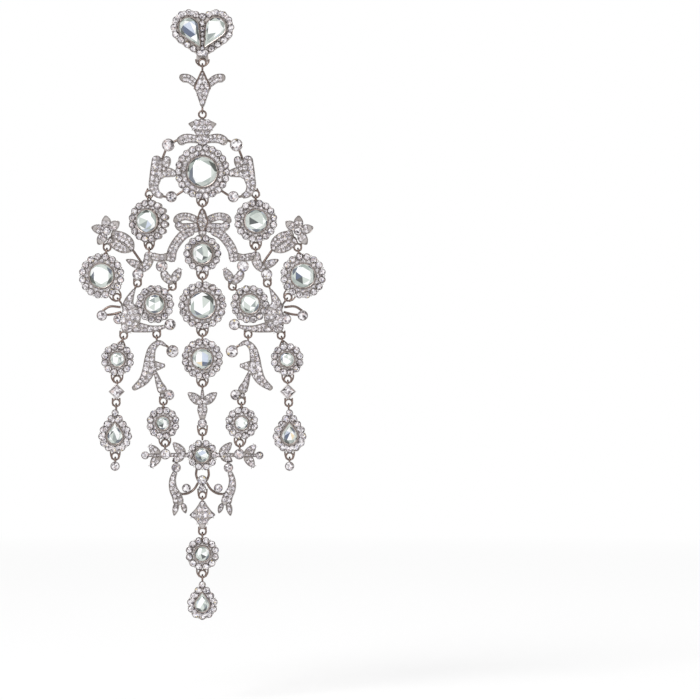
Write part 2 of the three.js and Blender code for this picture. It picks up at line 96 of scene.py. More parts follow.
# Plates and stones
RIM = 0.1
STATION = 0.22  # spacing of sections along a ribbon
PAVE_MAX = 0.5  # radius of the biggest pavé stone
PAVE_GAP = 0.03
PAVE_AHEAD = 0.35  # how far ahead of a row's start its room is measured
BEAD = 0.09  # radius of a grain between stones
CLASH = 0.6  # a pavé stone is left out nearer to another than this share of their radii
HALO_LOBE = 0.62  # how far a halo's outline stands outside the line that its cups lie on
HALO_CUP = HALO_LOBE * 0.97
HALO_IN = 0.52  # how far the cups reach inside that line
HALO_PITCH = 1.2
FILL_GAP = 0.25  # a gap inside the cups wider than this is filled with stones, not grains
FILL_MAX = 0.4
GRAIN_OUT = 0.36  # a grain outside the cups: its distance from their line, height and radius
GRAIN_H = 0.44
GRAIN = 0.13
BEZEL = 0.16  # how far a bezel stands outside its stone
EYE = (0.6, 0.16)  # radius and wire
LOOP = (0.55, 0.145)
LOOP_OFFSET = 0.73  # from an eye's centre to the centre of the loop in it
WIRE = 0.2  # radius of round wire
STRUT = 0.13  # radius of the struts beside a ring
STEP = 0.01  # plates that overlap differ by this in thickness, front and back
LEVELS = 9
LEAST_STONE = 0.2  # where a plate is narrower than this allows, it has no stone
NO_STONE_STEP = 0.15
BLUNT = 0.4  # length of a plate's rounded end, as a share of its width

# Points around round things
RING_TURNS = 32
RING_SIDES = 12
WIRE_SIDES = 10
BEAD_SIDES = 8
CUP_SIDES = 14
COLLET_SIDES = 28

# Facet tones, painted reflections and glints of the small stones: linear red, green, blue, and the
# share of facets that have it
FACET_REFLECTIONS = np.array([
    [0.94, 0.92, 0.94, 0.40],
    [0.66, 0.62, 0.65, 0.21],
    [0.40, 0.36, 0.38, 0.13],
    [0.18, 0.15, 0.16, 0.10],
    [0.04, 0.03, 0.03, 0.06],
    [0.74, 0.60, 0.58, 0.06],
    [0.80, 0.66, 0.34, 0.01],
    [0.55, 0.55, 0.72, 0.03],
])
# Painted reflections of the big stones' facets, in the same columns
ROSE_REFLECTIONS = np.array([
    [0.93, 0.94, 0.94, 0.14],
    [0.60, 0.65, 0.61, 0.32],
    [0.36, 0.41, 0.38, 0.26],
    [0.12, 0.14, 0.18, 0.10],
    [0.05, 0.06, 0.05, 0.12],
    [0.54, 0.60, 0.70, 0.06],
])
# Painted reflections in a big stone's table: what shows through its wedges, one letter for each
# wedge
REFLECTION_BY_LETTER = {
    "W": (0.95, 0.96, 0.96), "G": (0.58, 0.63, 0.59), "S": (0.30, 0.34, 0.33),
    "D": (0.07, 0.08, 0.08), "N": (0.09, 0.12, 0.20), "B": (0.56, 0.62, 0.74),
    "Y": (0.80, 0.66, 0.44),
}
# The painted reflections in each big stone's table, wedge by wedge
TABLE_REFLECTIONS = {
    "stud_left": "WNNBWSW", "stud_right": "GWWWWWS", "crown": "WWWWWW", "upper_left": "WWBSGW",
    "upper_right": "GDWWGG", "bow": "SWWDGG", "outer_left": "WWWWWW", "outer_right": "WNDGWW",
    "scroll_left": "GWWGWS", "scroll_right": "WGGWSW", "middle": "WWWWWG", "lower": "WWYNBB",
    "string_left": "WSGWWG", "string_right": "GWWWGW", "branch_left": "WWWDSG",
    "branch_right": "WWWWGW", "base": "BSDGWB", "tail": "WWGDWG", "drop_left": "WWWSGDW",
    "drop_right": "WBNWYWG", "tail_pear": "WWWGSGW",
}
PAINTED_WIRE_SHADE = (0.36, 0.29, 0.26)  # painted shade: how much darker the rings and wires are than the plates, for their dark outlines
BEZEL_DARKENING = (0.74, 0.69, 0.66)  # how much darker the bezels are than the plates


# ---- Mesh building ----


class Skin:
    """A mesh that grows part by part: points (x, z, h), faces, and a tone for each face."""

    def __init__(self):
        self.points, self.faces, self.tones = [], [], []
        self.count = 0

    def add(self, points, faces, tones):
        self.points.append(np.asarray(points, float))
        self.faces += [tuple(i + self.count for i in face) for face in faces]
        self.tones += list(tones)
        self.count += len(points)

    def take(self, other, mirror=False, lift=0.0):
        """Adds another skin, mirrored or lifted."""
        if not other.count:
            return
        points = np.concatenate(other.points) * ((-1, 1, 1) if mirror else (1, 1, 1))
        faces = [face[::-1] for face in other.faces] if mirror else other.faces
        self.add(points + (0, 0, lift), faces, other.tones)

    def turn(self, degrees, x):
        """Turns everything about a vertical line through x, in the mid-plane."""
        a = math.radians(degrees)
        points = np.concatenate(self.points)
        dx, y = points[:, 0] - x, -points[:, 2]
        turned = np.column_stack([
            x + dx * math.cos(a) - y * math.sin(a),
            points[:, 1],
            -dx * math.sin(a) - y * math.cos(a),
        ])
        self.points = [turned]

    def build(self, name, material, smooth):
        points = np.concatenate(self.points)
        mesh = bpy.data.meshes.new(name)
        placed = np.column_stack([points[:, 0], HANG_Y - points[:, 2], points[:, 1]]) * MM
        mesh.from_pydata(placed.tolist(), [], self.faces)
        mesh.materials.append(material)
        if smooth:
            mesh.shade_smooth()
            mesh.set_sharp_from_angle(angle=math.radians(38))
        colour = mesh.attributes.new("tone", "FLOAT_COLOR", "FACE")
        rgba = np.column_stack([np.array(self.tones), np.ones(len(self.tones))])
        colour.data.foreach_set("color", rgba.astype(np.float32).ravel())
        obj = bpy.data.objects.new(name, mesh)
        bpy.context.scene.collection.objects.link(obj)
        return obj


def at(outline, h):
    """A flat outline of (x, z) points at height h."""
    return np.column_stack([outline, np.full(len(outline), h)])


def skin_rings(skin, rings, closed=False, caps=(True, True), tone=(1, 1, 1)):
    """Joins rings of points, upwards and anticlockwise seen from the front, by faces."""
    n, last = len(rings[0]), len(rings) - 1
    faces = []
    for k in range(last + closed):
        low, high = k * n, (k + 1) % len(rings) * n
        for i in range(n):
            j = (i + 1) % n
            faces.append((low + i, low + j, high + j, high + i))
    if not closed and caps[0]:
        faces.append(tuple(range(n))[::-1])
    if not closed and caps[1]:
        faces.append(tuple(last * n + i for i in range(n)))
    skin.add(np.concatenate(rings), faces, [tone] * len(faces))


def circle(x, z, radius, count, start=0.0):
    angles = start + np.arange(count) * TURN / count
    return np.column_stack([x + radius * np.cos(angles), z + radius * np.sin(angles)])


def offset(outline, distance):
    """An anticlockwise outline moved outwards along its normals."""
    along = np.roll(outline, -1, 0) - np.roll(outline, 1, 0)
    normals = np.column_stack([along[:, 1], -along[:, 0]])
    return outline + distance * normals / np.linalg.norm(normals, axis=1)[:, None]


def even(path, count, shift=0.0):
    """Points spaced evenly along a closed path."""
    ring = np.vstack([path, path[:1]])
    run = np.concatenate([[0], np.cumsum(np.linalg.norm(np.diff(ring, axis=0), axis=1))])
    wanted = (np.arange(count) + shift) / count * run[-1]
    return np.column_stack([np.interp(wanted, run, ring[:, k]) for k in (0, 1)])


def leaned(rows, x, z, degrees):
    """Offsets from x, z, turned anticlockwise."""
    a = math.radians(degrees)
    c, s = math.cos(a), math.sin(a)
    return [(x + u * c - v * s, z + u * s + v * c) for u, v in rows]


def length_of(path):
    return np.linalg.norm(np.roll(path, -1, 0) - path, axis=1).sum()


def smooth_line(rows, steps=10):
    """A centripetal Catmull-Rom curve through rows of any width."""
    rows = np.array(rows, float)
    padded = [2 * rows[0] - rows[1], *rows, 2 * rows[-1] - rows[-2]]

    def mix(p, q, start, end, t):
        return (p * (end - t) + q * (t - start)) / (end - start)

    line = []
    for four in zip(padded, padded[1:], padded[2:], padded[3:]):
        gaps = [np.linalg.norm(b - a) ** 0.5 for a, b in zip(four, four[1:])]
        knot = np.concatenate([[0], np.cumsum(gaps)])
        for t in np.linspace(knot[1], knot[2], steps, endpoint=False):
            a = [mix(four[i], four[i + 1], knot[i], knot[i + 1], t) for i in range(3)]
            b = [mix(a[i], a[i + 1], knot[i], knot[i + 2], t) for i in range(2)]
            line.append(mix(b[0], b[1], knot[1], knot[2], t))
    line.append(rows[-1])
    return np.array(line)


# ---- Stones ----


def tones_for(count, table=FACET_REFLECTIONS):
    share = table[:, 3] / table[:, 3].sum()
    picked = table[rng.choice(len(table), count, p=share), :3]
    return picked * rng.uniform(0.9, 1.05, (count, 1))


def cut_faces(n):
    """Faces of a cut stone: n wedges of its table, which show the facets behind it, then n times
    a star, a kite, two girdle facets, and two facets of the pavilion."""
    table, mid, girdle, culet, centre = 0, n, 2 * n, 4 * n, 4 * n + 1
    faces = [(table + k, table + (k + 1) % n, centre) for k in range(n)]
    for k in range(n):
        after, before = (k + 1) % n, (k - 1) % n
        even_g, odd_g, next_g = girdle + 2 * k, girdle + 2 * k + 1, girdle + 2 * after
        faces.append((table + k, mid + k, table + after))
        faces.append((table + k, mid + before, even_g, mid + k))
        faces.append((mid + k, even_g, odd_g))
        faces.append((mid + k, odd_g, next_g))
        faces.append((odd_g, even_g, culet))
        faces.append((next_g, odd_g, culet))
    return faces


def cut_stone(skin, outline, n, h, rise, drop, shares=(0.56, 0.8), tones=None):
    """A stone with n table corners. Its outline has 2 n points, and shares say how far out its
    table and its middle ring of corners lie. The table's wedges meet off its centre."""
    centre = outline.mean(0)
    meet = centre + rng.uniform(-0.4, 0.4, 2) * shares[0] * np.linalg.norm(outline[0] - centre)
    corners, between = outline[0::2], outline[1::2]
    points = np.vstack([
        at(centre + shares[0] * (corners - centre), h + rise),
        at(centre + shares[1] * (between - centre), h + rise * 0.62),
        at(outline, h),
        [[*centre, h - drop], [*meet, h + rise]],
    ])
    faces = cut_faces(n)
    skin.add(points, faces, tones_for(len(faces)) if tones is None else tones)


def brilliant(skin, x, z, radius, h=GIRDLE_H):
    cut_stone(
        skin, circle(x, z, radius, 16, rng.uniform(0, TURN)), 8, h, 0.42 * radius, 0.9 * radius
    )


def rose(skin, outline, radius, shown, table=0.7):
    """A big rose-cut stone with a flat back, its facets painted with reflections. shown has a
    letter for each wedge of its table, for the painted reflection in it.
    """
    corners = len(shown)
    girdle = even(outline, 2 * corners)
    tones = tones_for(len(cut_faces(corners)), ROSE_REFLECTIONS)
    tones[:corners] = [REFLECTION_BY_LETTER[letter] for letter in shown]
    rise = 0.2 + 0.12 * radius
    cut_stone(skin, girdle, corners, ROSE_H, rise, 0.5, (table, (1 + table) / 2), tones)


# ---- Metal parts and what is set in them ----


class Work:
    """One CAD node's metal and its small stones."""

    plates = 0  # drawn so far in all, so that plates that overlap lie at different levels

    def __init__(self):
        self.metal, self.gems = Skin(), Skin()
        self.stones = []  # x, z and radius of each small stone

    def free(self, x, z, radius):
        """Whether a small stone at x, z keeps clear of the others."""
        return all(
            math.hypot(x - other[0], z - other[1]) > CLASH * (radius + other[2])
            for other in self.stones
        )

    def take(self, other, mirror=False, lift=0.0):
        self.metal.take(other.metal, mirror, lift)
        self.gems.take(other.gems, mirror, lift)
        self.stones += [(-x if mirror else x, z, radius) for x, z, radius in other.stones]

    def bead(self, x, z, h=0.52, radius=BEAD):
        """A round grain of metal that holds a stone's edge."""
        rings = [
            at(circle(x, z, radius * math.cos(a), BEAD_SIDES), h + radius * math.sin(a))
            for a in (-0.3, 0.35, 0.9, 1.35)
        ]
        skin_rings(self.metal, rings, caps=(False, True))

    def cup(self, x, z, radius, top, count=CUP_SIDES):
        """A tapered tube, open at both ends, with a stone in its mouth."""
        profile = [
            (0.62, BACK_H), (0.8, BACK_H + 0.06), (0.94, -0.1), (1, top - 0.2), (1, top),
            (0.98, top + 0.08), (0.93, top + 0.11), (0.88, top + 0.04), (0.84, top - 0.15),
            (0.52, -0.3), (0.5, BACK_H),
        ]
        rings = [at(circle(x, z, radius * r, count), h) for r, h in profile]
        skin_rings(self.metal, rings, closed=True)
        brilliant(self.gems, x, z, radius * 0.86, top)
        self.stones.append((x, z, radius))

    def collet(self, x, z, radius):
        """A stone in a round cup of its own, higher than the paved ones."""
        self.cup(x, z, radius, 0.6, COLLET_SIDES)

    def ring(self, x, z, size, across=None):
        """A round-wire ring, face-on, or edge-on in the plane of the unit vector across."""
        radius, wire = size
        turns = np.arange(RING_TURNS) * TURN / RING_TURNS
        rings = []
        for t in np.arange(RING_SIDES) * TURN / RING_SIDES:
            r, side = radius + wire * np.cos(t), np.full(RING_TURNS, wire * np.sin(t))
            if across is None:
                rings.append(np.column_stack([x + r * np.cos(turns), z + r * np.sin(turns), side]))
            else:
                u = r * np.cos(turns)
                rings.append(np.column_stack([
                    x + across[0] * u + across[1] * side,
                    z + across[1] * u - across[0] * side,
                    r * np.sin(turns),
                ]))
        # painted shade on the ring, from its tone
        skin_rings(self.metal, rings, closed=True, tone=PAINTED_WIRE_SHADE)

    def eye(self, x, z, half=0.6, rise=0.8, lean=0.0):
        """A ring that holds the next piece, between two struts that close in on it from above."""
        self.ring(x, z, EYE)
        for hand in (-1, 1):
            rows = [(hand * half, rise), (hand * max(half - 0.08, 0.6), 0.1), (hand * 0.5, -0.5)]
            self.wire(*leaned(rows, x, z, lean), radius=STRUT)

    def loop(self, x, z, lean=0.0):
        """The ring of this piece that hangs in another's eye at x, z."""
        a = math.radians(lean)
        way = (math.sin(a), -math.cos(a))
        self.ring(x + way[0] * LOOP_OFFSET, z + way[1] * LOOP_OFFSET, LOOP, way)

    def shoulders(self, x, z, lean=0.0):
        """Two struts from the loop in the eye at x, z down to the setting under it."""
        for hand in (-1, 1):
            rows = [(hand * 0.12, -0.9), (hand * 0.75, -1.75)]
            self.wire(*leaned(rows, x, z, lean), radius=STRUT)

    def wire(self, *rows, radius=WIRE, h=0.0):
        """Round wire through rows (x, z), at height h."""
        line = smooth_line(rows, 6)
        along = np.gradient(line, axis=0)
        along /= np.linalg.norm(along, axis=1)[:, None]
        a = -np.arange(1, WIRE_SIDES + 1) * TURN / WIRE_SIDES
        out, up = radius * np.cos(a), h + radius * np.sin(a)
        rings = [
            np.column_stack([x - run_z * out, z + run_x * out, up])
            for (x, z), (run_x, run_z) in zip(line, along)
        ]
        # painted shade on the wire, from its tone
        skin_rings(self.metal, rings, tone=PAINTED_WIRE_SHADE)

    def ribbon(self, *rows):
        """A paved plate along rows (x, z, width), with a raised rim and rounded ends."""
        line = smooth_line(rows)
        run = np.concatenate([[0], np.cumsum(np.linalg.norm(np.diff(line[:, :2], axis=0), axis=1))])
        whole = run[-1]
        blunt = [min(width * BLUNT, whole / 4) for width in (rows[0][2], rows[-1][2])]
        fine = np.array([0, 0.04, 0.15, 0.32, 0.6, 1])
        body = np.linspace(blunt[0], whole - blunt[1], max(3, round(whole / STATION)))
        stations = np.concatenate([fine[:-1] * blunt[0], body, whole - fine[:-1][::-1] * blunt[1]])
        x, z, width = (np.interp(stations, run, line[:, k]) for k in range(3))
        end = np.minimum(stations / blunt[0], (whole - stations) / blunt[1]).clip(0, 1)
        half = width / 2 * np.sqrt(np.maximum(1 - (1 - end) ** 2, 0.02))
        run_x, run_z = np.gradient(x), np.gradient(z)
        size = np.hypot(run_x, run_z)
        run_x, run_z = run_x / size, run_z / size
        distance = np.minimum(stations, whole - stations)
        Work.plates += 1
        step = STEP * (1 + Work.plates % LEVELS)
        bed = np.where(distance < RIM, RIM_H - 0.04, BED_H) + step
        rim = np.minimum(RIM, half * 0.4)
        back, top = BACK_H - step, RIM_H + step
        profile = [
            (-half + rim * 0.8, back), (-half, back + 0.12), (-half, top - 0.16),
            (-half + rim * 0.2, top - 0.03), (-half + rim * 0.6, top), (-half + rim, top - 0.06),
            (-half + rim * 1.1, bed),
        ]
        profile += [(-across, h) for across, h in reversed(profile)]
        columns = [
            np.column_stack([x - run_z * across, z + run_x * across, np.broadcast_to(h, x.shape)])
            for across, h in profile
        ]
        skin_rings(self.metal, list(np.stack(columns, axis=1)))
        self.pave(stations, x, z, half, run_x, run_z)

    def pave(self, stations, x, z, half, run_x, run_z):
        """Rows of graded stones across a ribbon, with a grain at each gap."""
        inner = half - RIM * 0.9
        where = stations[0] + RIM * 0.6
        while where < stations[-1] - RIM * 0.6:
            room = np.interp(where + PAVE_AHEAD, stations, inner)
            count = max(1, math.ceil(room / PAVE_MAX - 0.12))
            radius = min(PAVE_MAX, room / count)
            if radius < LEAST_STONE:
                where += NO_STONE_STEP
                continue
            middle = where + radius
            if middle + radius > stations[-1] - RIM * 0.3:
                break
            px, pz, tx, tz = (np.interp(middle, stations, v) for v in (x, z, run_x, run_z))
            for k in range(count):
                across = (2 * k + 1 - count) * radius
                cx, cz = px - tz * across, pz + tx * across
                if not self.free(cx, cz, radius):
                    continue
                self.stones.append((cx, cz, radius))
                brilliant(self.gems, cx, cz, radius - PAVE_GAP / 2)
                for hand in (-1, 1):
                    side = across + hand * radius * 0.82
                    ahead = radius * 0.92
                    self.bead(
                        px - tz * side + tx * ahead,
                        pz + tx * side + tz * ahead,
                        radius=min(BEAD, radius * 0.28),
                    )
            where += 2 * radius

    def leaf(self, base, tip, width):
        """A paved pointed oval."""
        base, tip = np.array(base, float), np.array(tip, float)
        self.ribbon(*(
            [*(base + along * (tip - base)), width * share]
            for along, share in ((0, 0.3), (0.3, 0.95), (0.65, 0.85), (0.9, 0.4), (1, 0.12))
        ))

    def setting(self, outline, halo_path, shift, skip=None):
        """A bezel for a big stone in a halo of small ones, each in its own cup."""
        count = 2 * round(length_of(halo_path) / (2 * HALO_PITCH))
        cups = even(halo_path, count, shift)
        if skip is not None:
            cups = np.array([c for c in cups if not skip(c)])
        for x, z in cups:
            self.cup(x, z, HALO_CUP, 0.46)
        inner, outer = offset(outline, BEZEL * 0.5), halo_path
        # The plate between the bezel and the cups, then the bezel
        steps = [
            (outer, BACK_H + 0.1), (outer, BED_H), (inner, BED_H + 0.08), (inner, BACK_H + 0.1),
        ]
        skin_rings(self.metal, [at(ring, h) for ring, h in steps], closed=True)
        steps = [
            (0.06, BACK_H), (BEZEL, BACK_H + 0.1), (BEZEL, 0.86), (BEZEL * 0.7, 1.04),
            (0.04, BEZEL_H), (-0.04, BEZEL_H - 0.02), (-0.05, ROSE_H - 0.02), (0.02, ROSE_H - 0.3),
            (0, -0.3),
        ]
        rings = [at(offset(outline, d), h) for d, h in steps]
        skin_rings(self.metal, rings, closed=True, tone=BEZEL_DARKENING)
        self.fill_halo(outline, halo_path, count, shift, skip)

    def fill_halo(self, outline, halo_path, count, shift, skip):
        """Small stones or grains between the bezel and the cups, and grains outside."""
        gap = np.linalg.norm(halo_path[0] - outline[0]) - BEZEL - HALO_IN
        near = even(offset(outline, BEZEL + gap * 0.5), count, shift + 0.5)
        far = even(offset(halo_path, GRAIN_OUT), count, shift + 0.5)
        for (x, z), (far_x, far_z) in zip(near, far):
            if skip is not None and skip((far_x, far_z)):
                continue
            if gap > FILL_GAP:
                brilliant(self.gems, x, z, min(FILL_MAX, gap * 0.6))
            else:
                self.bead(x, z)
            self.bead(far_x, far_z, GRAIN_H, GRAIN)


# ---- Outlines of the settings ----


def round_outline(x, z, radius):
    """A circle that starts at its top."""
    return circle(x, z, radius, 48, TURN / 4)


def pear_outline(x, z, radius, reach, grow=0.0):
    """A pear with its point up, evenly spaced from its point, anticlockwise."""
    flank = TURN / 4 + math.acos(radius / reach)
    size = radius + grow
    arc = np.linspace(flank, 1.5 * TURN - flank, 60)
    bow = np.column_stack([size * np.cos(arc), size * np.sin(arc)])
    tip = [[0, reach * size / radius]]
    return even(np.vstack([tip, bow]), 64) + (x, z)


# x, z, radius of the halo, radius of the stone
ROUNDS = {
    "crown": (0, -23.2, 4.65, 2.5),
    "upper": (8.85, -31.4, 3.65, 1.9),
    "bow": (0, -36.8, 3.2, 1.65),
    "outer": (16.75, -40.5, 3.85, 2),
    "scroll": (7.9, -45.2, 3.25, 1.6),
    "middle": (0, -45.4, 4.05, 2.2),
    "lower": (0, -54.3, 3.5, 1.7),
    "string": (14.1, -54.4, 2.8, 1.2),
    "branch": (6.55, -65, 2.8, 1.1),
    "base": (0, -70.3, 2.65, 1.2),
    "tail": (0, -86.7, 2.85, 1.25),
}
UPPER_TURN = {"left": -24, "right": 6}  # degrees about the vertical
# x, z, radius of the stone, reach to its point, halo outside it
PEARS = {
    "stud": (2.25, 0.8, 1.65, 3.8, 0.82),
    "drop": (14.5, -67.15, 1.3, 2.25, 0.93),
    "tail": (0, -95.15, 1.2, 2.0, 0.78),
}
STUD_POINT = (0.35, -2.49)


def round_work(name):
    x, z, halo, stone = ROUNDS[name]
    work = Work()
    work.setting(round_outline(x, z, stone), round_outline(x, z, halo - HALO_LOBE), 0.5)
    return work


def round_rose(name, hand=""):
    x, z, _, stone = ROUNDS[name]
    skin = Skin()
    rose(skin, round_outline(x, z, stone), stone, TABLE_REFLECTIONS[name + hand])
    return skin


def pear_work(name):
    x, z, stone, reach, halo = PEARS[name]
    work = Work()
    path = pear_outline(x, z, stone, reach, grow=halo)
    work.setting(pear_outline(x, z, stone, reach), path, 0)
    return work


def pear_rose(name, shown):
    x, z, stone, reach, _ = PEARS[name]
    skin = Skin()
    rose(skin, pear_outline(x, z, stone, reach), stone, TABLE_REFLECTIONS[shown], table=0.66)
    return skin


# ---- The nodes, from the top down ----


def lean(outline):
    """Leans an upright pear of the stud's right half so that its point is at STUD_POINT."""
    x, z = PEARS["stud"][:2]
    a = math.atan2(STUD_POINT[1] - z, STUD_POINT[0] - x) - TURN / 4
    turn = np.array([[math.cos(a), -math.sin(a)], [math.sin(a), math.cos(a)]])
    return (outline - (x, z)) @ turn.T + (x, z)


def stud_half():
    """The right half of the heart's front: a leaning pear without the cups near the middle."""
    x, z, stone, reach, halo = PEARS["stud"]
    half = Work()
    path = lean(pear_outline(x, z, stone, reach, grow=halo))
    half.setting(lean(pear_outline(x, z, stone, reach)), path, 0, skip=lambda c: c[0] < 0.42)
    return half


def stud():
    """Two half hearts, a column of cups between them, and a closed back."""
    work = Work()
    for side in SIDES.values():
        work.take(stud_half(), side < 0, STUD_LIFT + side * STEP)
    for z, radius in (
        (2.62, 0.64), (1.5, 0.56), (0.52, 0.48), (-0.36, 0.43), (-1.15, 0.39), (-1.88, 0.37),
        (-2.62, 0.4), (-3.5, 0.52),
    ):
        middle = Work()
        middle.cup(0, z, radius, 0.5)
        work.take(middle, lift=STUD_LIFT)
    back = lean(pear_outline(*PEARS["stud"][:4], grow=PEARS["stud"][4] + 0.45))
    for side in SIDES.values():
        wall = Skin()
        skin_rings(wall, [
            at(offset(back, -0.15), STUD_BACK_H), at(back, STUD_BACK_H + 0.1), at(back, -0.75),
            at(offset(back, -0.1), -0.7),
        ])
        work.metal.take(wall, side < 0, side * STEP)
    work.eye(0, -5.05, half=1.1, rise=0.6)
    return work


def stud_stone(hand):
    x, z, stone, reach, _ = PEARS["stud"]
    skin, lifted = Skin(), Skin()
    rose(skin, lean(pear_outline(x, z, stone, reach)), stone, TABLE_REFLECTIONS[f"stud_{hand}"])
    lifted.take(skin, lift=STUD_LIFT)
    return lifted


def ear_post():
    """The post, turned on a lathe along +Y: distance behind the stud, and radius."""
    work = Work()
    profile = [
        (0.1, 1.15), (0.14, 1.28), (0.3, 1.3), (0.42, 1.2), (0.5, 0.6), (0.7, 0.45), (9.4, 0.45),
        (9.6, 0.36), (9.9, 0.36), (10.1, 0.45), (10.7, 0.42), (11.0, 0.28), (11.1, 0.1),
    ]
    rings = [at(circle(0, 0, r, COLLET_SIDES), STUD_BACK_H - y) for y, r in profile]
    skin_rings(work.metal, rings[::-1])
    return work


def fleur_link():
    work = Work()
    work.loop(0, -5.05)
    work.ribbon([0, -6.35, 0.5], [0, -7.7, 1.7], [0, -8.9, 2.8], [0, -10.3, 1.9], [0, -11.7, 1.0],
                [0, -12.4, 0.5])
    for side in SIDES.values():
        arm = Work()
        arm.ribbon([0.4, -9.2, 1.1], [1.3, -8.4, 1.3], [2.3, -7.7, 1.4], [3.3, -7.6, 1.4],
                   [3.8, -7.75, 1.0])
        work.take(arm, side < 0)
        work.wire([side * 0.1, -6.5], [side * 0.7, -7.8], [side * 1.35, -9.5], radius=0.12, h=RIM_H)
    work.loop(0, -13.65, 180)
    return work


def crown_half():
    half = Work()
    half.ribbon([0.2, -18.1, 1.0], [1.5, -17.7, 1.4], [2.9, -17.7, 1.6], [4.1, -18.4, 1.5])
    half.wire([3.9, -17.8], [5.2, -18.4])
    half.collet(5.65, -18.75, 1.08)
    half.wire([6.0, -19.3], [6.75, -21.2])
    half.ribbon([7.7, -20.5, 1.3], [7.55, -22, 2.0], [7.8, -24, 2.0], [8.1, -25.6, 1.6],
                [7.6, -26.8, 1.3], [6.5, -27.3, 0.8])
    half.ribbon([5.8, -20.6, 1.0], [6.0, -21.6, 1.5], [7, -22.8, 1.8])
    half.ribbon([4.3, -23.6, 0.9], [5.5, -23.3, 1.6], [6.7, -23.3, 1.8], [7.6, -24.2, 1.6])
    half.collet(5.15, -27.35, 0.95)
    half.wire([3.1, -26.3], [4.5, -27.2])
    half.wire([5.8, -27.4], [6.8, -27.2])
    half.eye(8.85, -26.9, lean=25)
    return half


def crown_frame(work):
    work.ring(0, -13.65, EYE)
    work.ribbon([0, -14.4, 1.9], [0, -15.2, 4.7], [0, -15.6, 4.1], [0, -16.4, 2.9], [0, -17.4, 1.9],
                [0, -19, 1.5])
    work.eye(0, -28.35, half=0.95)


def flower(work, x, z):
    """A round centre with four pointed petals. The fifth place holds the stem."""
    core, reach = 0.7, 2.65
    for degrees in (141, 87, 15, -56):
        a = math.radians(degrees)
        way = np.array([math.cos(a), math.sin(a)])
        work.leaf((x, z) + 0.4 * way, (x, z) + reach * way, 1.7)
    work.collet(x, z, core)


def bow_half():
    half = Work()
    half.ribbon([0.3, -31.7, 1], [1.5, -30.95, 1.3], [2.9, -30.6, 1.3], [4, -30.95, 1.4],
                [4.3, -31.9, 1.3])
    half.ribbon([4.3, -31.6, 1.2], [3.6, -32.4, 1.5], [2.2, -32.55, 1.7], [0.4, -32.4, 1.6])
    half.ribbon([1.4, -33, 1.3], [3.0, -33.6, 1.6], [4.15, -34.8, 1.6], [5, -36.3, 1.6],
                [5.3, -38.2, 1.7])
    half.ribbon([5.2, -37.1, 1.3], [6.8, -37.5, 1.3], [8.6, -37.2, 1.4])
    half.loop(8.85, -35.55)
    half.ribbon([8.85, -36.45, 1.6], [8.9, -37.6, 1.7], [9.3, -38.7, 1.6], [10.4, -39.6, 1.2])
    half.collet(6.75, -38.9, 1.0)
    half.ribbon([6.5, -39.6, 1.1], [6.15, -40.6, 1.5], [5.4, -41.3, 1.4], [4.9, -41.85, 0.7])
    half.leaf([4.9, -41.5], [3.65, -39.2], 1.6)
    half.eye(5.0, -42.25)
    half.collet(10.7, -40.25, 0.95)
    half.eye(10.8, -41.7)
    half.leaf([9.9, -39.1], [12.7, -37.8], 1.4)
    half.wire([9.9, -38.6], [11.8, -35.9])
    half.ribbon([11.7, -36.3, 0.7], [12.1, -35, 1.5], [13.2, -34.1, 1.7], [15.2, -33.5, 1.4])
    half.ribbon([11.7, -36.2, 0.7], [13.2, -36, 1.5], [14.5, -35.2, 1.7], [15.3, -33.9, 1.5])
    half.ribbon([15.1, -34.2, 0.8], [15.8, -35.3, 0.6])
    half.eye(15.85, -35.75)
    flower(half, 15.9, -33.1)
    return half


def bow_frame(work):
    work.loop(0, -28.35)
    work.ribbon([0, -29.3, 0.6], [0, -30.2, 1.4], [0, -31.4, 1.7], [0, -32.6, 1.5], [0, -34, 1.2])
    for side in SIDES.values():
        work.wire([side * 0.1, -29.4], [side * 0.62, -30.5], [side * 0.85, -31.6],
                  [side * 0.3, -33], radius=0.13, h=RIM_H)
    work.eye(0, -40.5, half=0.95)


def scroll_frame(work):
    work.loop(5.0, -42.25, 45)
    work.loop(10.8, -41.7, 25)
    work.loop(14.25, -44.05, -37)
    work.ribbon([11.3, -42.7, 0.4], [11.9, -43.9, 1.1], [12.3, -45.1, 1.8], [12, -46.4, 2.9],
                [12, -47.6, 3.5], [12.4, -48.8, 2.5], [12.9, -50, 1])
    work.ribbon([12.2, -48.8, 2.2], [10.4, -49.1, 1.7], [8.6, -49.3, 1.2], [6.9, -49.1, 0.8],
                [5.6, -48.7, 0.5])
    work.ribbon([12.4, -46.6, 1.4], [13.0, -45.8, 0.8], [13.4, -45.1, 0.5])
    work.collet(13.95, -47.7, 0.85)
    work.wire([16.6, -46.3], [15.4, -45.6], [13.6, -45.7])
    work.wire([16.2, -47.0], [15.0, -46.9], [13.5, -46.5])
    work.collet(16.7, -47.1, 0.88)
    work.collet(5.35, -48.6, 0.95)
    work.eye(7.6, -50.2)
    work.eye(13.1, -50.4)


def lozenge():
    """A square stone on its point in a square rim."""
    work = Work()
    work.loop(14.2, -57.7)
    x, z, radius = 14.25, -59.75, 1.35
    steps = [
        (0.8, BACK_H), (0.95, BACK_H + 0.1), (1, 0.5), (0.96, 0.66), (0.86, 0.7), (0.8, 0.6),
        (0.78, 0.3), (0.6, BACK_H),
    ]
    rings = [at(circle(x, z, radius * r, 4), h) for r, h in steps]
    skin_rings(work.metal, rings, closed=True)
    cut_stone(work.gems, even(circle(x, z, radius * 0.8, 4), 8), 4, 0.55, 0.25, 0.9, (0.5, 0.62))
    work.eye(14.35, -61.6)
    return work


def tip_drop():
    work = Work()
    work.loop(14.5, -70.5)
    work.collet(14.5, -72.15, 0.78)
    return work


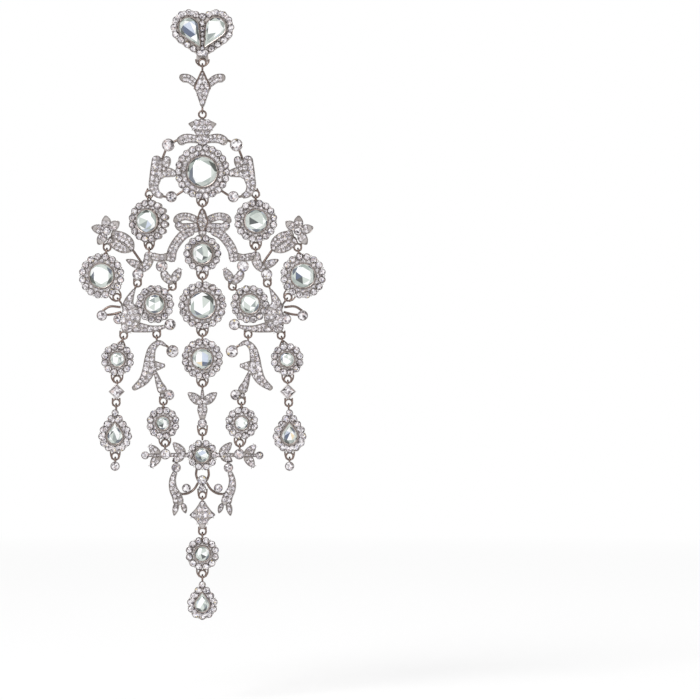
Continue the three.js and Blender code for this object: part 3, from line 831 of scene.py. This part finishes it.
def inner_branch():
    work = Work()
    work.loop(7.6, -50.2)
    work.ribbon([6.1, -52.1, 0.5], [7.2, -51.6, 0.9], [8.3, -52.5, 1.3], [8.75, -54.3, 1.75],
                [8.9, -56, 2.1], [9.7, -57.8, 1.7], [11.6, -59.4, 0.8])
    work.wire([6.7, -51.8], [5.9, -52.2], [5.2, -52.8])
    work.collet(4.95, -53.05, 1.05)
    work.ribbon([8.5, -55.5, 2.2], [7.4, -55.5, 1.5], [6.2, -55.4, 0.5])
    work.ribbon([8.0, -56.3, 0.6], [7.6, -57.2, 0.8], [7.2, -58.4, 1.2], [6.7, -59.5, 1.6],
                [6.7, -60.2, 1])
    work.collet(5.55, -60.3, 0.9)
    work.ribbon([6.7, -60, 1.0], [6.55, -60.8, 0.6])
    work.eye(6.5, -61.35)
    return work


def leaf_spray():
    work = Work()
    work.loop(0, -58.35)
    work.ribbon([0, -59.4, 0.4], [0, -60.6, 0.7], [0, -61.6, 1.2], [0, -62.8, 1.7], [0, -63.8, 1.2],
                [0, -64.6, 0.7])
    for side in SIDES.values():
        hand = Work()
        hand.leaf([0.1, -61.8], [2.4, -59.9], 1.7)
        work.take(hand, side < 0)
    work.collet(0, -65, 0.78)
    work.eye(0, -66.45, half=0.8, rise=1.1)
    return work


def base_half():
    half = Work()
    half.leaf([2.9, -70.4], [4.85, -68.2], 1.6)
    half.leaf([3.0, -70.3], [5, -71.4], 1.4)
    half.ribbon([2.3, -70.3, 0.8], [5.4, -70.3, 0.7], [9.2, -70.35, 0.6])
    half.loop(6.2, -68.3)
    half.collet(6.15, -70.15, 0.9)
    half.leaf([7.1, -70.6], [8.85, -68.6], 1.6)
    half.leaf([7.1, -70.1], [8.6, -72.4], 1.6)
    half.collet(9.5, -70.35, 0.67)
    half.wire([4.2, -71], [4.35, -72.2])
    half.collet(4.35, -72.4, 0.8)
    half.ribbon([4.5, -73, 0.8], [4.95, -74.4, 1.1], [4.85, -75.9, 1.4], [4.2, -77.3, 1.7],
                [3.85, -78.7, 1.9])
    half.leaf([3.3, -78.3], [2.75, -80], 1.0)
    half.leaf([4.25, -78.2], [4.7, -80.4], 1.1)
    half.ribbon([4.3, -76.9, 1.0], [3.4, -76.8, 0.6])
    half.collet(2.65, -75.8, 0.75)
    half.wire([3.7, -76.8], [2.5, -76.7], [1.4, -76.0], [0.7, -74.9])
    half.wire([0.9, -72.4], [1.05, -73.6], [0.7, -74.6])
    return half


def base_frame(work):
    work.loop(0, -66.45)
    work.collet(0, -74.5, 0.85)
    work.collet(0, -75.8, 0.62)
    work.eye(0, -77, half=0.75, rise=1.1)


def bell_drop():
    work = Work()
    work.loop(0, -77)
    work.ribbon([0, -77.85, 0.6], [0, -78.7, 1.6], [0, -79.5, 2.8], [0, -80.3, 4.3],
                [0, -80.6, 3.5], [0, -81.2, 2.1], [0, -82, 1.1], [0, -82.6, 0.6])
    work.eye(0, -83)
    return work


# ---- Materials ----

POLISH_SCALE = 900  # of the metal's uneven tint and polishing marks
MARK_DEPTH = 0.03 * MM
CORNER_SHADE_REACH = 0.7 * MM  # how near other metal brings painted shade into a corner

def new_material(name):
    material = bpy.data.materials.new(name)
    material.use_nodes = True
    nodes, links = material.node_tree.nodes, material.node_tree.links
    return material, nodes, links, nodes["Principled BSDF"]


def multiply(nodes, links, first, second, share=1.0):
    """The colour of one output multiplied by another's."""
    mix = nodes.new("ShaderNodeMix")
    mix.data_type = "RGBA"
    mix.blend_type = "MULTIPLY"
    mix.inputs["Factor"].default_value = share
    links.new(first, mix.inputs["A"])
    links.new(second, mix.inputs["B"])
    return mix.outputs["Result"]


def white_gold():
    """Rhodium-plated gold: pale grey-brown with an uneven tint and fine polishing marks. Painted
    shade darkens it in corners, where it turns away, and on the rings and wires; the bezels are
    darker too."""
    material, nodes, links, shader = new_material("white_gold")
    shader.inputs["Metallic"].default_value = 1
    place = nodes.new("ShaderNodeTexCoord")
    noise = nodes.new("ShaderNodeTexNoise")
    noise.inputs["Scale"].default_value = POLISH_SCALE
    noise.inputs["Detail"].default_value = 4
    links.new(place.outputs["Object"], noise.inputs["Vector"])
    tint = nodes.new("ShaderNodeValToRGB")
    tint.color_ramp.elements[0].position = 0.35
    tint.color_ramp.elements[0].color = (0.56, 0.51, 0.49, 1)
    tint.color_ramp.elements[1].position = 0.65
    tint.color_ramp.elements[1].color = (0.78, 0.74, 0.73, 1)
    links.new(noise.outputs["Fac"], tint.inputs["Fac"])
    # Painted shade on the rings and wires, and a darker tone on the bezels, read from each face's
    # tone
    wire_shade_and_bezel_tone = nodes.new("ShaderNodeAttribute")
    wire_shade_and_bezel_tone.attribute_name = "tone"
    tint_with_shade_and_bezel_tone = multiply(nodes, links, tint.outputs["Color"], wire_shade_and_bezel_tone.outputs["Color"])
    # Painted shade: darker where the surface turns away from the view, for the dark outlines of
    # curved metal
    away = nodes.new("ShaderNodeLayerWeight")
    away.inputs["Blend"].default_value = 0.5
    turned = nodes.new("ShaderNodeValToRGB")
    turned.color_ramp.elements[0].position = 0.3
    turned.color_ramp.elements[0].color = (1, 1, 1, 1)
    turned.color_ramp.elements[1].position = 0.8
    turned.color_ramp.elements[1].color = (0.24, 0.2, 0.18, 1)
    links.new(away.outputs["Facing"], turned.inputs["Fac"])
    grazing_shaded = multiply(nodes, links, tint_with_shade_and_bezel_tone, turned.outputs["Color"])
    # Painted shade in corners and between stones, where other metal is near
    corner = nodes.new("ShaderNodeAmbientOcclusion")
    corner.samples = 6
    corner.inputs["Distance"].default_value = CORNER_SHADE_REACH
    dark = nodes.new("ShaderNodeMix")
    dark.data_type = "RGBA"
    shade = nodes.new("ShaderNodeValToRGB")
    shade.color_ramp.elements[0].position = 0.25
    shade.color_ramp.elements[1].position = 0.8
    links.new(corner.outputs["AO"], shade.inputs["Fac"])
    links.new(shade.outputs["Color"], dark.inputs["Factor"])
    dark.inputs["A"].default_value = (0.23, 0.2, 0.18, 1)
    links.new(grazing_shaded, dark.inputs["B"])
    links.new(dark.outputs["Result"], shader.inputs["Base Color"])
    rough = nodes.new("ShaderNodeMapRange")
    rough.inputs["To Min"].default_value = 0.14
    rough.inputs["To Max"].default_value = 0.34
    links.new(noise.outputs["Fac"], rough.inputs["Value"])
    links.new(rough.outputs["Result"], shader.inputs["Roughness"])
    marks = nodes.new("ShaderNodeBump")
    marks.inputs["Strength"].default_value = 0.12
    marks.inputs["Distance"].default_value = MARK_DEPTH
    links.new(noise.outputs["Fac"], marks.inputs["Height"])
    links.new(marks.outputs["Normal"], shader.inputs["Normal"])
    return material


def cut_gem(name, cell_scale, cell_share):
    """A cut stone: each facet's painted tone, broken by painted cells for the facets that show from
    behind it. Both stand for reflections; the gloss on top is real.
    """
    material, nodes, links, shader = new_material(name)
    facet = nodes.new("ShaderNodeAttribute")
    facet.attribute_name = "tone"
    place = nodes.new("ShaderNodeTexCoord")
    # Painted reflections: patches of grey that stand for the facets seen from behind
    cells = nodes.new("ShaderNodeTexVoronoi")
    cells.inputs["Scale"].default_value = cell_scale
    links.new(place.outputs["Object"], cells.inputs["Vector"])
    tone = nodes.new("ShaderNodeValToRGB")
    stops = tone.color_ramp
    stops.interpolation = "CONSTANT"
    stops.elements[0].color = (0.12, 0.10, 0.11, 1)
    stops.elements[1].position = 0.16
    stops.elements[1].color = (0.55, 0.55, 0.56, 1)
    for position, grey in ((0.34, 0.85), (0.55, 1.0)):
        stops.elements.new(position).color = (grey, grey, grey, 1)
    separate = nodes.new("ShaderNodeSeparateColor")
    links.new(cells.outputs["Color"], separate.inputs["Color"])
    links.new(separate.outputs["Red"], tone.inputs["Fac"])
    mixed = multiply(nodes, links, facet.outputs["Color"], tone.outputs["Color"], cell_share)
    links.new(mixed, shader.inputs["Base Color"])
    shader.inputs["Roughness"].default_value = 0.04
    shader.inputs["IOR"].default_value = 2.0
    return material


METAL = white_gold()
SMALL = cut_gem("small_brilliant", 3400, 0.6)
BIG = cut_gem("rose_cut", 900, 0.12)


# ---- Pieces in place of the CAD nodes ----


def show(skin, name, material, node, mirror, turn):
    """Builds a piece that stands for a CAD node and rides on its body, mirrored for the left
    side and turned on its ring."""
    placed = Skin()
    placed.take(skin, mirror)
    if turn:
        placed.turn(*turn)
    obj = placed.build(name, material, smooth=material is METAL)
    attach(obj, frame["nodes"][node]["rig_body"])
    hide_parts(node)


def show_work(work, node, mirror=False, turn=None):
    """Shows the metal and the small stones of a node."""
    show(work.metal, f"{node}_metal", METAL, node, mirror, turn)
    if work.gems.count:
        show(work.gems, f"{node}_brilliants", SMALL, node, mirror, turn)


def show_stone(skin, node, mirror=False, turn=None):
    show(skin, f"{node}_cut", BIG, node, mirror, turn)


show_work(stud(), "stud_setting")
show_work(ear_post(), "ear_post")
show_work(fleur_link(), "fleur_link")

for name, add_frame, add_half in (
    ("crown", crown_frame, crown_half),
    ("bow", bow_frame, bow_half),
    ("base", base_frame, base_half),
):
    whole = round_work(name)
    add_frame(whole)
    for side in SIDES.values():
        whole.take(add_half(), side < 0)
    show_work(whole, f"{name}_setting")
    show_stone(round_rose(name), f"{name}_stone")

# name, x and z of its loop and of its eye
for name, loop, eye in (
    ("middle", (0, -40.5), (0, -49.95)),
    ("lower", (0, -49.95), (0, -58.35)),
    ("tail", (0, -83), (0, -90.05)),
):
    whole = round_work(name)
    whole.loop(*loop)
    whole.eye(*eye, half=0.95)
    show_work(whole, f"{name}_setting")
    show_stone(round_rose(name), f"{name}_stone")

for hand, side in SIDES.items():
    left = side < 0
    show_stone(stud_stone(hand), f"stud_stone_{hand}", left)
    # name, x, z and lean of its loop, x and z of its eye, lean of the struts beside it
    for name, loop, eye, eye_lean in (
        ("upper", (8.85, -26.9, 0), (8.85, -35.55), 0),
        ("outer", (15.85, -35.75, 11), (14.25, -44.05), -35),
        ("string", (13.1, -50.4, 14), (14.2, -57.7), 0),
        ("branch", (6.5, -61.35, 0), (6.2, -68.3), -6),
    ):
        turn = (UPPER_TURN[hand], side * ROUNDS["upper"][0]) if name == "upper" else None
        whole = round_work(name)
        whole.loop(*loop)
        whole.shoulders(*loop)
        whole.eye(*eye, half=0.95, lean=eye_lean)
        show_work(whole, f"{name}_setting_{hand}", left, turn)
        show_stone(round_rose(name, f"_{hand}"), f"{name}_stone_{hand}", left, turn)
    whole = round_work("scroll")
    scroll_frame(whole)
    show_work(whole, f"scroll_setting_{hand}", left)
    show_stone(round_rose("scroll", f"_{hand}"), f"scroll_stone_{hand}", left)
    show_work(inner_branch(), f"inner_branch_{hand}", left)
    show_work(lozenge(), f"lozenge_{hand}", left)
    show_work(tip_drop(), f"tip_drop_{hand}", left)
    whole = pear_work("drop")
    whole.loop(14.35, -61.6)
    whole.eye(14.5, -70.5, half=0.8)
    show_work(whole, f"pear_drop_setting_{hand}", left)
    show_stone(pear_rose("drop", f"drop_{hand}"), f"pear_drop_stone_{hand}", left)

show_work(leaf_spray(), "leaf_spray")
show_work(bell_drop(), "bell_drop")
whole = pear_work("tail")
whole.loop(0, -90.05)
show_work(whole, "tail_pear_setting")
show_stone(pear_rose("tail", "tail_pear"), "tail_pear_stone")


# ---- Studio ----

ROOM_LIGHT = 0.7  # of the room and its floor on things, as a share of what the camera sees
FLOOR_DROP = 0.014  # from the earring's lowest point to the floor, in metres
FLOOR_HALF = 4


def white_where_seen(tree, strength):
    """Light that is white to look at and softer where it falls on things."""
    ray = tree.nodes.new("ShaderNodeLightPath")
    level = tree.nodes.new("ShaderNodeMapRange")
    level.inputs["To Min"].default_value = ROOM_LIGHT
    level.inputs["To Max"].default_value = 1.0
    tree.links.new(ray.outputs["Is Camera Ray"], level.inputs["Value"])
    tree.links.new(level.outputs["Result"], strength)


def pale_floor(z):
    """A wide pale floor below the hanging earring, which fades into the room further off."""
    mesh = bpy.data.meshes.new("floor")
    signs = ((-1, -1), (1, -1), (1, 1), (-1, 1))
    corners = [(x * FLOOR_HALF, y * FLOOR_HALF, z) for x, y in signs]
    mesh.from_pydata(corners, [], [(0, 1, 2, 3)])
    material, nodes, links, shader = new_material("floor")
    shader.inputs["Base Color"].default_value = (0.95, 0.95, 0.95, 1)
    shader.inputs["Roughness"].default_value = 0.8
    room = nodes.new("ShaderNodeEmission")
    white_where_seen(material.node_tree, room.inputs["Strength"])
    place = nodes.new("ShaderNodeTexCoord")
    far = nodes.new("ShaderNodeVectorMath")
    far.operation = "LENGTH"
    links.new(place.outputs["Object"], far.inputs[0])
    fade = nodes.new("ShaderNodeMapRange")
    fade.inputs["From Min"].default_value = 0.1
    fade.inputs["From Max"].default_value = 0.6
    links.new(far.outputs["Value"], fade.inputs["Value"])
    mix = nodes.new("ShaderNodeMixShader")
    links.new(fade.outputs["Result"], mix.inputs["Fac"])
    links.new(shader.outputs["BSDF"], mix.inputs[1])
    links.new(room.outputs["Emission"], mix.inputs[2])
    links.new(mix.outputs["Shader"], nodes["Material Output"].inputs["Surface"])
    mesh.materials.append(material)
    floor = bpy.data.objects.new("floor", mesh)
    bpy.context.scene.collection.objects.link(floor)


def soft_box(name, aim, way, size, power):
    """A square light at way from the point that it is aimed at."""
    light = bpy.data.lights.new(name, "AREA")
    light.size = size
    light.energy = power
    lamp = bpy.data.objects.new(name, light)
    lamp.location = [a + b for a, b in zip(aim, way)]
    lamp.rotation_euler = (aim - lamp.location).to_track_quat("-Z", "Y").to_euler()
    bpy.context.scene.collection.objects.link(lamp)


def studio():
    low, high = cad_box
    centre = (low + high) / 2
    pale_floor(low.z - FLOOR_DROP)
    world = bpy.data.worlds.new("studio")
    world.use_nodes = True
    bpy.context.scene.world = world
    backdrop = world.node_tree.nodes["Background"]
    backdrop.inputs["Color"].default_value = (1, 1, 1, 1)
    white_where_seen(world.node_tree, backdrop.inputs["Strength"])
    soft_box("key", centre, (-0.25, -0.45, 0.35), 0.25, 1.45)
    soft_box("fill", centre, (0.4, -0.35, 0.05), 0.2, 0.4)
    soft_box("rim", centre, (0.05, 0.35, 0.45), 0.25, 0.8)
    bpy.context.scene.view_settings.view_transform = "Standard"
    lens = bpy.data.cameras.new("camera")
    lens.lens = 200
    camera = bpy.data.objects.new("camera", lens)
    # The width of the view at the earring, and the middle of the view, right of the earring
    width, aside, height = 0.11667, 0.02455, -0.05283
    camera.location = (aside, -width * lens.lens / lens.sensor_width, height)
    camera.rotation_euler = (TURN / 4, 0, 0)
    bpy.context.scene.collection.objects.link(camera)
    bpy.context.scene.camera = camera


studio()
